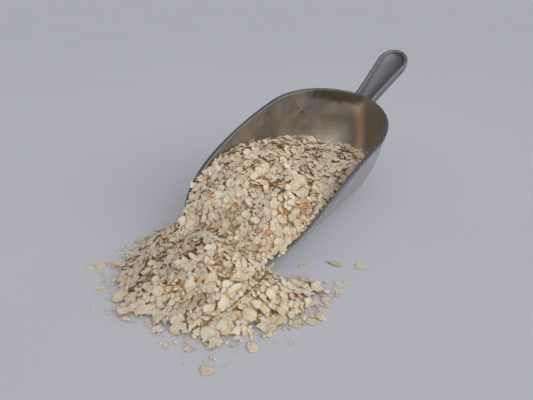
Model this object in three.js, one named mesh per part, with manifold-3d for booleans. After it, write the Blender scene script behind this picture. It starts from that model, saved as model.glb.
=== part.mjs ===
// A cast aluminium scoop lying on a table, with quinoa flakes running out of its mouth into a heap.
// Millimetres, +Z up. The scoop is drawn level in its own axes: X across, Y from the lip of its mouth
// to its handle, Z up from its keel. It is then rolled a little onto its right side and set on the table.
// The origin of the whole is the middle of its box, on the table.
import * as THREE from 'three';
import { LoftGeometry } from 'three/addons/geometries/LoftGeometry.js';
import { mergeVertices } from 'three/addons/utils/BufferGeometryUtils.js';
import Module from 'manifold-3d';

const wasm = await Module();
wasm.setup();

// ---- driving dimensions ----------------------------------------------------------------------

const BOWL = {
  length: 172,          // from the lip to the outside of the back
  width: 83,            // outside, where the back begins
  mouthFlare: 1.04,     // how much wider the sides stand at the mouth
  backLength: 66,       // the part rounded in plan
  planPower: 1.82,      // roundness of the back in plan, 2 is an ellipse
  sectionPower: 2.5,    // roundness of the bottom across
  equator: 42.5,        // height where the round bottom meets the upright sides
  rimHeight: 61,        // rim at the back
  rimPower: 2.7,        // how fast the rim climbs from the lip
  wall: 2.6,
};

const HANDLE = {
  length: 62,           // along its slope, from the back of the bowl
  slope: 28.8,          // degrees above the rim
  drop: 1.2,            // its edges start this much below the rim
  neckWidth: 15.4,
  endWidth: 26.2,
  endLength: 16.4,      // the rounded end
  neckFlare: 1.5,       // extra width where it grows out of the bowl
  flareReach: 4,
  depth: 14,
  wall: 2.7,
  floor: 3,
  root: 8,              // how far its block starts inside the bowl, before the hollow is cut
  grooveStart: 1,
  grooveRadius: 5,
  grooveLid: 6,         // how far the cutting form of the groove stands above the edges
  roundness: 0.7,       // below 1 its underside is fuller than a half circle
};

const ROLL = 13.5;      // degrees, the right rim lies lower
const GAP = 0.3;        // between metal and flakes

const CONTENTS = {
  overRim: 4,           // crown of the flakes above the rim near the mouth
  plateau: 37,          // level of the middle, above the keel
  backLevel: 18.3,      // level where the flakes meet the back wall
  backAt: 161,          // distance of that line from the lip
  backSlope: 0.42,      // rise per millimetre towards the mouth
  crownMouth: 4.5,      // how much higher the middle stands than the sides
  crownBack: 1,
  turnFrom: 70,         // from here on the surface turns from the roll of the scoop
  turnTo: 110,          // to the level of the table
  blend: 8,
};

// Flakes on the table: a cone under the lip, one against the left side of the mouth, and a thin
// apron on the right. The reach of each foot is given every 45 degrees, from +X towards +Y.
const HEAPS = [
  { x: 2, y: -12, peak: 22, reach: [51, 39, 45, 55, 56, 52, 42, 46] },
  { x: -33, y: 5, peak: 16.5, reach: [26, 26, 26, 24, 23, 25, 26, 26] },
  { x: 42, y: 4, peak: 3.2, reach: [17, 24, 15, 13, 12, 14, 13, 14] },
];
const HEAP_BLEND = 6;
const HEAP_TOE = 1.1;   // above 1 the foot of the heap runs out thin

const FLAKE = {
  smallest: 2.6,        // radius
  largest: 3.7,
  thickness: 1,
  sides: 6,
  slender: 0.8,         // short side over long side
  tilt: 38,             // degrees, at most, against the surface they lie on
  spacing: 9.2,
  tries: 2600,
};
const RELIEF = 0.9;     // height of the flakes too small to model
const CELL = 6;         // grid of the surface of the flakes
const BED = 12;         // how far below its surface a block of flakes starts, before it is trimmed
const SEED = 7;

// ---- helpers ---------------------------------------------------------------------------------

const { degToRad, smoothstep, lerp, clamp, seededRandom } = THREE.MathUtils;

/** A closed geometry as a solid, without the triangles that collapse at poles and seams. */
function solid(geometry) {
  const bare = new THREE.BufferGeometry();
  bare.setAttribute('position', geometry.getAttribute('position'));
  bare.setIndex(geometry.index);
  const merged = mergeVertices(bare, 1e-3);
  const index = merged.index.array;
  const triangles = [];
  for (let i = 0; i < index.length; i += 3) {
    const [a, b, c] = [index[i], index[i + 1], index[i + 2]];
    if (a !== b && b !== c && c !== a) triangles.push(a, b, c);
  }
  return new wasm.Manifold(new wasm.Mesh({
    numProp: 3,
    vertProperties: new Float32Array(merged.attributes.position.array),
    triVerts: new Uint32Array(triangles),
  }));
}

function geometryOf(manifold) {
  const mesh = manifold.getMesh();
  const geometry = new THREE.BufferGeometry();
  geometry.setAttribute('position', new THREE.BufferAttribute(mesh.vertProperties, 3));
  geometry.setIndex(new THREE.BufferAttribute(mesh.triVerts, 1));
  geometry.computeVertexNormals();
  return geometry;
}

/** The smaller of two heights, with the crease between them rounded. */
function blendedMin(a, b, width) {
  const near = Math.max(width - Math.abs(a - b), 0) / width;
  return Math.min(a, b) - near * near * width / 4;
}

const blendedMax = (a, b, width) => -blendedMin(-a, -b, width);

/** The same random draws, between two values, on every run. */
function dice(seed) {
  let count = seed * 1000;
  return (low, high) => lerp(low, high, seededRandom(count++));
}

// ---- the bowl of the scoop -------------------------------------------------------------------

const ROWS = 9;               // from the rim down to the keel
const SIDE_STATIONS = 14;     // along each side
const BACK_STATIONS = 22;     // round the back
const BEYOND_MOUTH = 30;      // how far the form of the hollow runs out past the lip
const ABOVE_RIM = 100;        // and its top above the keel
const backStart = BOWL.length - BOWL.backLength;

const rimAt = (y) => BOWL.rimHeight * (1 - Math.max(1 - y / BOWL.length, 0) ** BOWL.rimPower);

/** The distance from the lip at which the rim has a given height. */
const whereRimIs = (z) => BOWL.length * (1 - (1 - z / BOWL.rimHeight) ** (1 / BOWL.rimPower));

function halfWidthAt(y) {
  const along = clamp(y / backStart, -1, 1);
  return BOWL.width / 2 * lerp(BOWL.mouthFlare, 1, Math.sin(Math.PI / 2 * along));
}

/**
 * The places along the bowl's edge: up its left side, round its back and down its right side.
 * Each gives, for an inset from the outer skin, the plan points from the middle (0) to the skin (1).
 */
function stations(start) {
  const side = (sign, t) => (inset) => {
    const y = lerp(start(inset), backStart, t);
    const half = sign * (halfWidthAt(y) - inset);
    return (reach) => new THREE.Vector2(half * reach, y);
  };
  const back = (angle) => (inset) => {
    const power = 2 / BOWL.planPower;
    const across = -Math.sign(Math.cos(angle)) * Math.abs(Math.cos(angle)) ** power;
    const x = across * (BOWL.width / 2 - inset);
    const y = Math.sin(angle) ** power * (BOWL.backLength - inset);
    return (reach) => new THREE.Vector2(x * reach, backStart + y * reach);
  };
  const list = [];
  const even = (i) => (i / SIDE_STATIONS) ** 1.5;       // closer at the mouth, where the rim turns
  for (let i = 0; i < SIDE_STATIONS; i++) list.push(side(-1, even(i)));
  for (let i = 0; i <= BACK_STATIONS; i++) list.push(back(Math.PI * i / BACK_STATIONS));
  for (let i = SIDE_STATIONS - 1; i >= 0; i--) list.push(side(1, even(i)));
  return list;
}

/** A line down the bowl from a given height to its keel. Above the equator it runs upright. */
function lineDown(plan, inset, top) {
  const depth = BOWL.equator - inset;
  const below = clamp((BOWL.equator - top) / depth, 0, 1);
  const start = Math.acos(below ** (BOWL.sectionPower / 2));
  const power = 2 / BOWL.sectionPower;
  const points = [];
  for (let row = 0; row <= ROWS; row++) {
    const angle = start * (1 - row / ROWS);
    const at = plan(Math.sin(angle) ** power);
    points.push(new THREE.Vector3(at.x, at.y, BOWL.equator - depth * Math.cos(angle) ** power));
  }
  const upright = new THREE.Vector3(points[0].x, points[0].y, Math.max(top, points[0].z));
  return [upright, ...points];
}

/** The wall of the bowl. With a margin it is the space that the flakes keep out of. */
function bowlWall(margin) {
  const start = (inset) => whereRimIs(inset - margin);
  const skin = (station, inset) => {
    const plan = station(inset);
    return lineDown(plan, inset, rimAt(plan(1).y) + margin);
  };
  const sections = stations(start).map((station) => [
    ...skin(station, -margin).reverse(),
    ...skin(station, BOWL.wall + margin),
  ]);
  return new LoftGeometry(sections, { closed: false });
}

/** The inside of the bowl, run out past the mouth and up past the rim. */
function hollow(margin) {
  const inset = BOWL.wall + margin;
  const sections = stations(() => -BEYOND_MOUTH).map((station) => {
    const plan = station(inset);
    const middle = new THREE.Vector3(plan(0).x, plan(0).y, ABOVE_RIM);
    return [middle, ...lineDown(plan, inset, ABOVE_RIM)].reverse();
  });
  return new LoftGeometry(sections, { closed: false, capStart: true, capEnd: true });
}

// ---- its handle ------------------------------------------------------------------------------

const START_STEPS = 5;        // sections over the rounded start of the groove
const MIDDLE_STEPS = 6;       // along the handle
const END_STEPS = 7;          // over its rounded end
const HALF_TURN_STEPS = 10;   // round its underside

/** How full a form is at a distance along it, from 0 at its rounded ends to 1 between them. */
function fullness(s, from, to, startRadius, endRadius) {
  const pastEnd = clamp((s - to) / endRadius + 1, 0, 1);
  const beforeStart = startRadius > 0 ? clamp(1 - (s - from) / startRadius, 0, 1) : 0;
  return Math.sqrt(1 - Math.max(pastEnd, beforeStart) ** 2);
}

/** A round-bottomed bar along the handle, level with its top, with its far end rounded. */
function handleBar({ from, to, inset, flare, depth, lid, startRadius }) {
  const slope = degToRad(HANDLE.slope);
  const along = new THREE.Vector3(0, Math.cos(slope), Math.sin(slope));
  const up = new THREE.Vector3(0, -Math.sin(slope), Math.cos(slope));
  const neck = new THREE.Vector3(0, BOWL.length, BOWL.rimHeight - HANDLE.drop);
  const endRadius = HANDLE.endLength - inset;
  const distances = [from];
  for (let i = 1; i <= START_STEPS && startRadius > 0; i++) {
    distances.push(from + startRadius * (1 - Math.cos(Math.PI / 2 * i / START_STEPS)));
  }
  for (let i = 1; i <= MIDDLE_STEPS; i++) {
    distances.push(lerp(from + startRadius, to - endRadius, i / MIDDLE_STEPS));
  }
  for (let i = 1; i <= END_STEPS; i++) {
    distances.push(to - endRadius * (1 - Math.sin(Math.PI / 2 * i / END_STEPS)));
  }
  const sections = distances.map((s) => {
    const full = fullness(s, from, to, startRadius, endRadius);
    const width = lerp(HANDLE.neckWidth, HANDLE.endWidth, clamp(s / HANDLE.length, 0, 1));
    const half = (width / 2 - inset + flare / 2 * Math.exp(-Math.max(s, 0) / HANDLE.flareReach)) * full;
    const point = (x, height) => neck.clone().addScaledVector(along, s).addScaledVector(up, height).setX(x);
    const section = [];
    for (let i = 0; i <= HALF_TURN_STEPS; i++) {
      const angle = Math.PI * i / HALF_TURN_STEPS;
      const drop = Math.abs(Math.sin(angle)) ** HANDLE.roundness * depth * full;
      section.push(point(half * Math.cos(angle), -drop));
    }
    if (lid > 0) section.push(point(-half, lid), point(half, lid));
    return section;
  });
  return new LoftGeometry(sections, { capStart: startRadius === 0 });
}

const handleBlock = () => handleBar({
  from: -HANDLE.root,
  to: HANDLE.length,
  inset: 0,
  flare: HANDLE.neckFlare,
  depth: HANDLE.depth,
  lid: 0,
  startRadius: 0,
});

const handleGroove = () => handleBar({
  from: HANDLE.grooveStart,
  to: HANDLE.length - HANDLE.wall,
  inset: HANDLE.wall,
  flare: 0,
  depth: HANDLE.depth - HANDLE.floor,
  lid: HANDLE.grooveLid,
  startRadius: HANDLE.grooveRadius,
});

// ---- how the scoop lies on the table ---------------------------------------------------------

/** From the scoop's own axes to the table: rolled about the middle of its mouth, and set down. */
function restingPlace() {
  const place = new THREE.Matrix4()
    .makeTranslation(0, 0, BOWL.equator)
    .multiply(new THREE.Matrix4().makeRotationY(degToRad(ROLL)))
    .multiply(new THREE.Matrix4().makeTranslation(0, 0, -BOWL.equator));
  const rolled = bowlWall(0).applyMatrix4(place);
  rolled.computeBoundingBox();
  return new THREE.Matrix4().makeTranslation(0, 0, -rolled.boundingBox.min.z).multiply(place);
}

const scoopToTable = restingPlace();
const tableToScoop = scoopToTable.clone().invert();

/** A geometry drawn in the scoop's axes, as a solid in its place on the table. */
const laid = (geometry) => solid(geometry.applyMatrix4(scoopToTable));

const scoop = laid(bowlWall(0))
  .add(laid(handleBlock()).subtract(laid(hollow(0))))
  .subtract(laid(handleGroove()));

// ---- the surface of the flakes ---------------------------------------------------------------

/** Level of the flakes in the bowl, in the scoop's axes. */
function contentsAt(x, y) {
  const front = rimAt(y) + CONTENTS.overRim;
  const back = CONTENTS.backLevel + CONTENTS.backSlope * (CONTENTS.backAt - y);
  const ridge = blendedMin(blendedMin(front, CONTENTS.plateau, CONTENTS.blend), back, CONTENTS.blend);
  const turned = smoothstep(y, CONTENTS.turnFrom, CONTENTS.turnTo);
  const crown = lerp(CONTENTS.crownMouth, CONTENTS.crownBack, turned) * (x / halfWidthAt(y)) ** 2;
  return ridge + turned * Math.tan(degToRad(ROLL)) * x - crown;
}

/** Height of the flakes on the table. Beyond the foot of the heap it is below zero. */
function heapAt(x, y) {
  const heights = HEAPS.map((heap) => {
    const angle = Math.atan2(y - heap.y, x - heap.x) / (Math.PI / 4) + 8;
    const [first, second] = [heap.reach[Math.floor(angle) % 8], heap.reach[Math.ceil(angle) % 8]];
    const reach = lerp(first, second, smoothstep(angle % 1, 0, 1));
    const near = 1 - Math.hypot(x - heap.x, y - heap.y) / reach;
    return heap.peak * Math.sign(near) * Math.abs(near) ** HEAP_TOE;
  });
  return heights.reduce((a, b) => blendedMax(a, b, HEAP_BLEND));
}

/** A block over a plan rectangle whose top follows a height, roughened by small flakes. */
function terrain([x0, x1], [y0, y1], heightAt) {
  const roll = dice(SEED);
  const columns = Math.round((x1 - x0) / CELL);
  const rows = Math.round((y1 - y0) / CELL);
  const block = new THREE.BoxGeometry(x1 - x0, y1 - y0, 2, columns, rows, 1);
  const position = block.getAttribute('position');
  for (let i = 0; i < position.count; i++) {
    const x = position.getX(i) + (x0 + x1) / 2;
    const y = position.getY(i) + (y0 + y1) / 2;
    const inside = x > x0 && x < x1 && y > y0 && y < y1;
    const isTop = position.getZ(i) > 0;
    const slip = () => (isTop && inside ? roll(-CELL, CELL) / 3 : 0);
    const lump = isTop && inside ? roll(-RELIEF, RELIEF) : 0;
    position.setXYZ(i, x + slip(), y + slip(), isTop ? heightAt(x, y) + lump : -BED);
  }
  return block;
}

// ---- the larger flakes, one by one -----------------------------------------------------------

/** One flake lying on a surface: a thin uneven plate, tilted a little against it. */
function flake(roll, at, normal) {
  const radius = roll(FLAKE.smallest, FLAKE.largest);
  const plate = new THREE.CylinderGeometry(radius * 0.9, radius, FLAKE.thickness, FLAKE.sides);
  plate.rotateX(Math.PI / 2);
  plate.scale(1, roll(FLAKE.slender, 1), 1);
  plate.rotateZ(roll(0, Math.PI));
  const tilt = degToRad(FLAKE.tilt) * Math.sqrt(roll(0, 1));
  const heading = roll(0, 2 * Math.PI);
  const lean = new THREE.Vector3(Math.cos(heading), Math.sin(heading), 0);
  const turn = new THREE.Quaternion().setFromUnitVectors(new THREE.Vector3(0, 0, 1), normal)
    .multiply(new THREE.Quaternion().setFromAxisAngle(lean, tilt));
  plate.applyQuaternion(turn);
  const raise = 0.15 * FLAKE.thickness + 0.3 * radius * Math.sin(tilt);
  plate.translate(...at.clone().addScaledVector(normal, raise).toArray());
  return plate;
}

/** Flakes spread evenly over a height, wherever a test allows one. */
function scatter(seed, [x0, x1], [y0, y1], heightAt, allowed) {
  const roll = dice(seed);
  const placed = [];
  const plates = [];
  for (let i = 0; i < FLAKE.tries; i++) {
    const [x, y] = [roll(x0, x1), roll(y0, y1)];
    const at = new THREE.Vector3(x, y, heightAt(x, y));
    const step = CELL / 2;
    const normal = new THREE.Vector3(
      heightAt(x - step, y) - heightAt(x + step, y),
      heightAt(x, y - step) - heightAt(x, y + step),
      2 * step,
    ).normalize();
    if (!allowed(at) || placed.some((other) => other.distanceTo(at) < FLAKE.spacing)) continue;
    placed.push(at);
    plates.push(flake(roll, at, normal));
  }
  return plates;
}

const BOWL_X = [-BOWL.width / 2 - 3, BOWL.width / 2 + 3];
const BOWL_Y = [-6, BOWL.length];
const TABLE_X = [-66, 72];
const TABLE_Y = [-64, 44];

/** In the bowl, clear of its sides, and not under the heap at its mouth. */
function showsInBowl(at) {
  const onTable = at.clone().applyMatrix4(scoopToTable);
  const clearOfSides = Math.abs(at.x) < halfWidthAt(at.y) - BOWL.wall - 1 && at.y > 2;
  const clearOfBack = Math.hypot(at.x / BOWL.width * 2, Math.max(at.y - backStart, 0) / BOWL.backLength) < 0.92;
  return clearOfSides && clearOfBack && onTable.z > heapAt(onTable.x, onTable.y) - 0.5;
}

/** On the table or over the lip, and neither in the bowl nor under it. */
function showsOnTable(at) {
  const inScoop = at.clone().applyMatrix4(tableToScoop);
  const besideBowl = Math.abs(inScoop.x) > halfWidthAt(inScoop.y) + 1.5 || inScoop.y < 0;
  const overBowl = inScoop.z > Math.max(rimAt(inScoop.y), contentsAt(inScoop.x, inScoop.y)) - 0.5;
  return at.z > -0.8 && (besideBowl || overBowl);
}

/** The flakes as one body: contents and heap joined over the lip, clear of the metal. */
function flakesSolid() {
  const contents = laid(terrain(BOWL_X, BOWL_Y, contentsAt)).intersect(laid(hollow(-BOWL.wall / 2)));
  let body = contents.add(solid(terrain(TABLE_X, TABLE_Y, heapAt)));
  for (const plate of scatter(SEED, BOWL_X, BOWL_Y, contentsAt, showsInBowl)) {
    body = body.add(laid(plate));
  }
  for (const plate of scatter(SEED + 1, TABLE_X, TABLE_Y, heapAt, showsOnTable)) {
    body = body.add(solid(plate));
  }
  const reach = 2 * (BOWL.length + HANDLE.length);
  const underTable = new THREE.BoxGeometry(reach, reach, reach).translate(0, 0, -reach / 2);
  body = body.subtract(laid(bowlWall(GAP))).subtract(solid(underTable));
  return body.decompose().reduce((a, b) => (a.volume() > b.volume() ? a : b));
}

// ---- the whole -------------------------------------------------------------------------------

const finishes = {
  castAluminium: new THREE.MeshStandardMaterial({ color: 0x8b8a8c, roughness: 0.42, metalness: 1 }),
  quinoaFlakes: new THREE.MeshStandardMaterial({ color: 0xd2c1a3, roughness: 0.9, metalness: 0 }),
};

function piece(name, manifold, finish) {
  const mesh = new THREE.Mesh(geometryOf(manifold), finish);
  mesh.name = name;
  return mesh;
}

const spilledScoop = new THREE.Group();
spilledScoop.add(piece('scoop', scoop, finishes.castAluminium));
spilledScoop.add(piece('flakes', flakesSolid(), finishes.quinoaFlakes));

const box = new THREE.Box3().setFromObject(spilledScoop);
const middle = box.getCenter(new THREE.Vector3());
spilledScoop.position.set(-middle.x, -middle.y, 0);

export default spilledScoop;
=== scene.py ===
# %% [markdown]
# # A scoop of quinoa flakes
# A cast aluminium scoop lies tipped on a table. It is full of pale cereal flakes, which run over
# its lip into a low heap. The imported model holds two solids, `scoop` and `flakes`. This lesson gives
# the scoop its smooth skin and its cast finish, and lays several thousand single flakes where the
# solid only has their level.
#
# Lengths are written in millimetres, as a scoop maker would, and turned into metres when a mesh is
# written.

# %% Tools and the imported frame
import math

import bmesh
import bpy
import numpy as np
from mathutils import Matrix, Vector
from mathutils.bvhtree import BVHTree


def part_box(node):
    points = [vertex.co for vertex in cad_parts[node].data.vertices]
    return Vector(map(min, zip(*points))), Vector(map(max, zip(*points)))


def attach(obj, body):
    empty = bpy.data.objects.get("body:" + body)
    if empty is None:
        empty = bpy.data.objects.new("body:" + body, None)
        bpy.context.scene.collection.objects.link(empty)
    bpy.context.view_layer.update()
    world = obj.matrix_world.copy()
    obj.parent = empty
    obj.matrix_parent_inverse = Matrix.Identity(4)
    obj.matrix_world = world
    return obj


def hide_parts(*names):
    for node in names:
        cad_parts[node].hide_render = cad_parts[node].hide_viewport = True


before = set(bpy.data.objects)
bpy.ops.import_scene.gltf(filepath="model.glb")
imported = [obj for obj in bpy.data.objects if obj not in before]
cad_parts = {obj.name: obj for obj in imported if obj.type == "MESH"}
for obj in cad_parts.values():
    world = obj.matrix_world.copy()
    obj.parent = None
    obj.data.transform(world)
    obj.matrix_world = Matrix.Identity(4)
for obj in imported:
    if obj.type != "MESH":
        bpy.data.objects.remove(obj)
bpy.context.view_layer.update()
MM = 0.001

# %% [markdown]
# ## Where things are
# The shapes are easiest to draw from the lip of the scoop's mouth: X across the scoop, Y towards its
# handle, Z up from the table. The frame's own origin is in the middle of the whole, so every point is
# moved by the lip's place, and the scoop's box says where that is.

# %% The lip of the scoop
scoop_low, scoop_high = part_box("scoop")
LIP = Vector(((scoop_low.x + scoop_high.x) / 2, scoop_low.y, 0))


def to_frame(points):
    """Points drawn from the lip in millimetres, as points of the frame in metres."""
    return np.asarray(points, float) * MM + np.array(LIP)


print("the lip is at", [round(v, 4) for v in LIP])

# %% [markdown]
# ## The camera
# It stands to the right of the heap, a little above it, and looks along the scoop to its handle. It
# aims at a point on the table, which is given from the lip like everything else.

# %% Camera
VIEW = {"azimuth": 34.2, "elevation": 27.44, "distance": 312.3, "aim": (-25.6, 80.7, 0), "lens": 29.04}


def make_camera():
    azimuth, elevation = math.radians(VIEW["azimuth"]), math.radians(VIEW["elevation"])
    back = Vector((
        math.sin(azimuth) * math.cos(elevation),
        -math.cos(azimuth) * math.cos(elevation),
        math.sin(elevation),
    ))
    data = bpy.data.cameras.new("camera")
    data.lens = VIEW["lens"]
    data.clip_start = 0.01
    camera = bpy.data.objects.new("camera", data)
    camera.location = Vector(to_frame(VIEW["aim"])) + back * VIEW["distance"] * MM
    camera.rotation_euler = back.to_track_quat("Z", "Y").to_euler()
    bpy.context.scene.collection.objects.link(camera)
    bpy.context.scene.camera = camera
    return camera


camera = make_camera()
print("camera at", [round(v, 3) for v in camera.location])

# %% [markdown]
# ## The bowl of the scoop
# Such a scoop is sand cast in one piece. Its sides are upright, its bottom is round, its back is
# rounded in plan, and its rim climbs from the lip in one curve. A formula for each of these gives a
# grid of points that is smooth at any density, which a box with a subdivision surface would not. The
# same formulas say later whether a flake lies in the hollow or would cut through the metal.

# %% Sizes of the bowl
BOWL = {
    "length": 172, "width": 83, "mouth_flare": 1.04, "back_length": 66, "plan_power": 1.82,
    "section_power": 2.5, "equator": 42.5, "rim_height": 61, "rim_power": 2.7, "wall": 2.6,
}
RIM_ROUND = 0.9
ROLL = math.radians(13.5)
BACK_START = BOWL["length"] - BOWL["back_length"]


def rim_at(y):
    return BOWL["rim_height"] * (1 - np.maximum(1 - y / BOWL["length"], 0) ** BOWL["rim_power"])


def where_rim_is(z):
    return BOWL["length"] * (1 - (1 - z / BOWL["rim_height"]) ** (1 / BOWL["rim_power"]))


def half_width_at(y):
    along = np.clip(y / BACK_START, -1, 1)
    return BOWL["width"] / 2 * (BOWL["mouth_flare"] + (1 - BOWL["mouth_flare"]) * np.sin(math.pi / 2 * along))


def fullness_in_bowl(x, y, z, inset):
    """Below 1 inside the skin at that inset from the outer one, above 1 outside it."""
    half = half_width_at(np.minimum(y, BACK_START)) - inset
    beyond = np.clip(y - BACK_START, 0, None) / (BOWL["back_length"] - inset)
    across = np.abs(x) / half
    power = BOWL["plan_power"]
    plan = np.where(beyond > 0, (across ** power + beyond ** power) ** (1 / power), across)
    below = np.clip(BOWL["equator"] - z, 0, None) / (BOWL["equator"] - inset)
    return plan ** BOWL["section_power"] + below ** BOWL["section_power"]


print("the bowl is", BOWL["length"], "mm long and", BOWL["width"], "mm wide")

# %% [markdown]
# The scoop is drawn level and then rolled onto its right side, about the middle of its mouth, until
# its lowest point touches the table.

# %% From level to rolled, and back
def roll_over(x, z, turn):
    """Turned about the line along the middle of the mouth."""
    up = z - BOWL["equator"]
    turned_x = x * math.cos(turn) + up * math.sin(turn)
    turned_up = up * math.cos(turn) - x * math.sin(turn)
    return turned_x, turned_up + BOWL["equator"]


def lowest_when_rolled():
    angle = np.linspace(-math.pi / 2, math.pi / 2, 400)
    power = 2 / BOWL["section_power"]
    x = np.sign(angle) * np.abs(np.sin(angle)) ** power * BOWL["width"] / 2 * BOWL["mouth_flare"]
    z = BOWL["equator"] * (1 - np.cos(angle) ** power)
    return roll_over(x, z, ROLL)[1].min()


LIFT = -lowest_when_rolled()


def lay_down(points):
    """From the scoop's own level axes to its place on the table."""
    x, z = roll_over(points[..., 0], points[..., 2], ROLL)
    return np.stack([x, points[..., 1], z + LIFT], -1)


def level(points):
    """From the table back to the scoop's own level axes."""
    x, z = roll_over(points[..., 0], points[..., 2] - LIFT, -ROLL)
    return np.stack([x, points[..., 1], z], -1)


print("rolled by", round(math.degrees(ROLL), 1), "degrees and lifted by", round(LIFT, 2), "mm")

# %% [markdown]
# The grid runs round the edge of the bowl in one direction. In the other it runs from the keel up the
# outer skin, over the rim and down the inner skin to the keel again. The corners of the rim are
# quarter circles, because a cast rim is ground flat and then loses its sharp edge. Along the sides the
# points stand closer together towards the lip, where the rim is steepest.

# %% The grid of the bowl
SIDE_STEPS, BACK_STEPS, DOWN_STEPS, UPRIGHT_STEPS, RIM_STEPS = 60, 84, 30, 8, 4
CLOSER_AT_LIP = 1.5
QUARTER = np.linspace(0, math.pi / 2, RIM_STEPS + 1)


def stations(inset, drop):
    """The plan points along the edge at an inset, and the point on the middle that each is drawn from."""
    t = (np.arange(SIDE_STEPS) / SIDE_STEPS) ** CLOSER_AT_LIP
    start = where_rim_is(inset + drop)
    y = start + (BACK_START - start) * t
    half = half_width_at(y) - inset
    angle = np.linspace(0, math.pi, BACK_STEPS + 1)
    power = 2 / BOWL["plan_power"]
    across = -np.sign(np.cos(angle)) * np.abs(np.cos(angle)) ** power * (BOWL["width"] / 2 - inset)
    along = BACK_START + np.sin(angle).clip(0) ** power * (BOWL["back_length"] - inset)
    edge_x = np.concatenate([-half, across, half[::-1]])
    edge_y = np.concatenate([y, along, y[::-1]])
    middle_y = np.concatenate([y, np.full(BACK_STEPS + 1, BACK_START), y[::-1]])
    return edge_x, edge_y, middle_y


def line_down(inset, drop):
    """From just under the rim down to the keel, at an inset: an array of stations by steps by XYZ."""
    edge_x, edge_y, middle_y = stations(inset, drop)
    top = rim_at(edge_y) - drop
    depth = BOWL["equator"] - inset
    start = np.arccos(np.clip((BOWL["equator"] - top) / depth, 0, 1) ** (BOWL["section_power"] / 2))
    angle = start[:, None] * (1 - np.linspace(0, 1, DOWN_STEPS + 1))
    power = 2 / BOWL["section_power"]
    reach = np.sin(angle) ** power
    z = BOWL["equator"] - depth * np.cos(angle) ** power
    upright = np.linspace(0, 1, UPRIGHT_STEPS + 1)[:-1]
    z_up = np.maximum(top, z[:, 0])[:, None] * (1 - upright) + z[:, :1] * upright
    reach = np.concatenate([np.repeat(reach[:, :1], UPRIGHT_STEPS, 1), reach], 1)
    z = np.concatenate([z_up, z], 1)
    x = edge_x[:, None] * reach
    y = middle_y[:, None] + (edge_y - middle_y)[:, None] * reach
    return np.stack([x, y, z], -1)


def rounded_corner(radius, angles):
    """How far each point of a quarter circle lies in from the side and down from the top."""
    return [(radius * (1 - math.cos(a)), radius * (1 - math.sin(a))) for a in angles]


def bowl_points():
    corner = rounded_corner(RIM_ROUND, QUARTER[1:])
    over_rim = [line_down(inset, drop)[:, :1] for inset, drop in corner]
    over_rim += [line_down(BOWL["wall"] - inset, drop)[:, :1] for inset, drop in reversed(corner)]
    outer = line_down(0, RIM_ROUND)[:, ::-1]
    inner = line_down(BOWL["wall"], RIM_ROUND)
    return np.concatenate([outer, *over_rim, inner], 1)


bowl_grid = bowl_points()
print("the bowl's grid is", bowl_grid.shape[:2])

# %% [markdown]
# ## The handle
# The handle is a trough cast on to the back of the bowl. It has a thin raised edge all round, a hollow
# that the thumb lies in, and a round bottom. Again a grid is wrapped round it: along its outline in
# plan, and across from the middle of the hollow, over the edge and round the underside. Where it meets
# the bowl it widens a little, as a fillet does, and it ends inside the thickness of the wall.

# %% Sizes of the handle
HANDLE = {
    "length": 62, "slope": math.radians(28.8), "drop": 1.2, "neck_width": 15.4, "end_width": 26.2,
    "end_length": 16.4, "flare": 1.5, "flare_reach": 4, "depth": 14, "wall": 3.2, "floor": 7.5,
    "roundness": 0.7, "hollow_roundness": 1.5, "edge_round": 1.5,
}
HOLLOW_INTO_WALL = 0.5
START_STEPS, LENGTH_STEPS, END_STEPS, AROUND_STEPS = 10, 30, 16, 14


def handle_outline(inset):
    """Half an outline in plan: distance along the handle, half width, and how full it is there."""
    end, end_round = HANDLE["length"] - inset, HANDLE["end_length"] - inset
    last = np.linspace(0, math.pi / 2, END_STEPS + 1)
    middle = np.linspace(0, end - end_round, LENGTH_STEPS + 1)[1:-1]
    s = np.concatenate([np.zeros(START_STEPS + 1), middle, end - end_round * (1 - np.sin(last))])
    full = np.concatenate([np.ones(START_STEPS + len(middle) + 1), np.cos(last)])
    grow = np.clip(s / HANDLE["length"], 0, 1)
    width = HANDLE["neck_width"] + (HANDLE["end_width"] - HANDLE["neck_width"]) * grow
    flare = HANDLE["flare"] * np.exp(-s / HANDLE["flare_reach"])
    half = ((width + flare) / 2 - inset) * full
    half[:START_STEPS + 1] *= np.linspace(0, 1, START_STEPS + 1)
    return s, half, full


def place_on_handle(x, s, height):
    """A point beside the handle's middle line, a distance along it and above its edges."""
    slope = HANDLE["slope"]
    y = BOWL["length"] + s * math.cos(slope) - height * math.sin(slope)
    z = BOWL["rim_height"] - HANDLE["drop"] + s * math.sin(slope) + height * math.cos(slope)
    return np.stack([x, y, z], -1)


def root_in_wall(x, height):
    """The distance along the handle at which it reaches the middle of the bowl's wall."""
    inset = BOWL["wall"] / 2
    across = np.abs(x) / (BOWL["width"] / 2 - inset)
    power = BOWL["plan_power"]
    y = BACK_START + (BOWL["back_length"] - inset) * (1 - across ** power) ** (1 / power)
    return (y - BOWL["length"] + height * math.sin(HANDLE["slope"])) / math.cos(HANDLE["slope"])


def handle_row(inset, drop, angle, deep, into_wall, roundness=HANDLE["roundness"]):
    """One line round the handle, from its root to its tip: angle turns it from the edge to the middle."""
    s, half, full = handle_outline(inset)
    x = half * math.cos(angle)
    height = -(drop + math.sin(angle) ** roundness * deep * full)
    at_root = np.arange(len(s)) <= START_STEPS
    s = np.where(at_root, root_in_wall(x, height) + into_wall, s)
    return place_on_handle(x, s, height)


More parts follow.
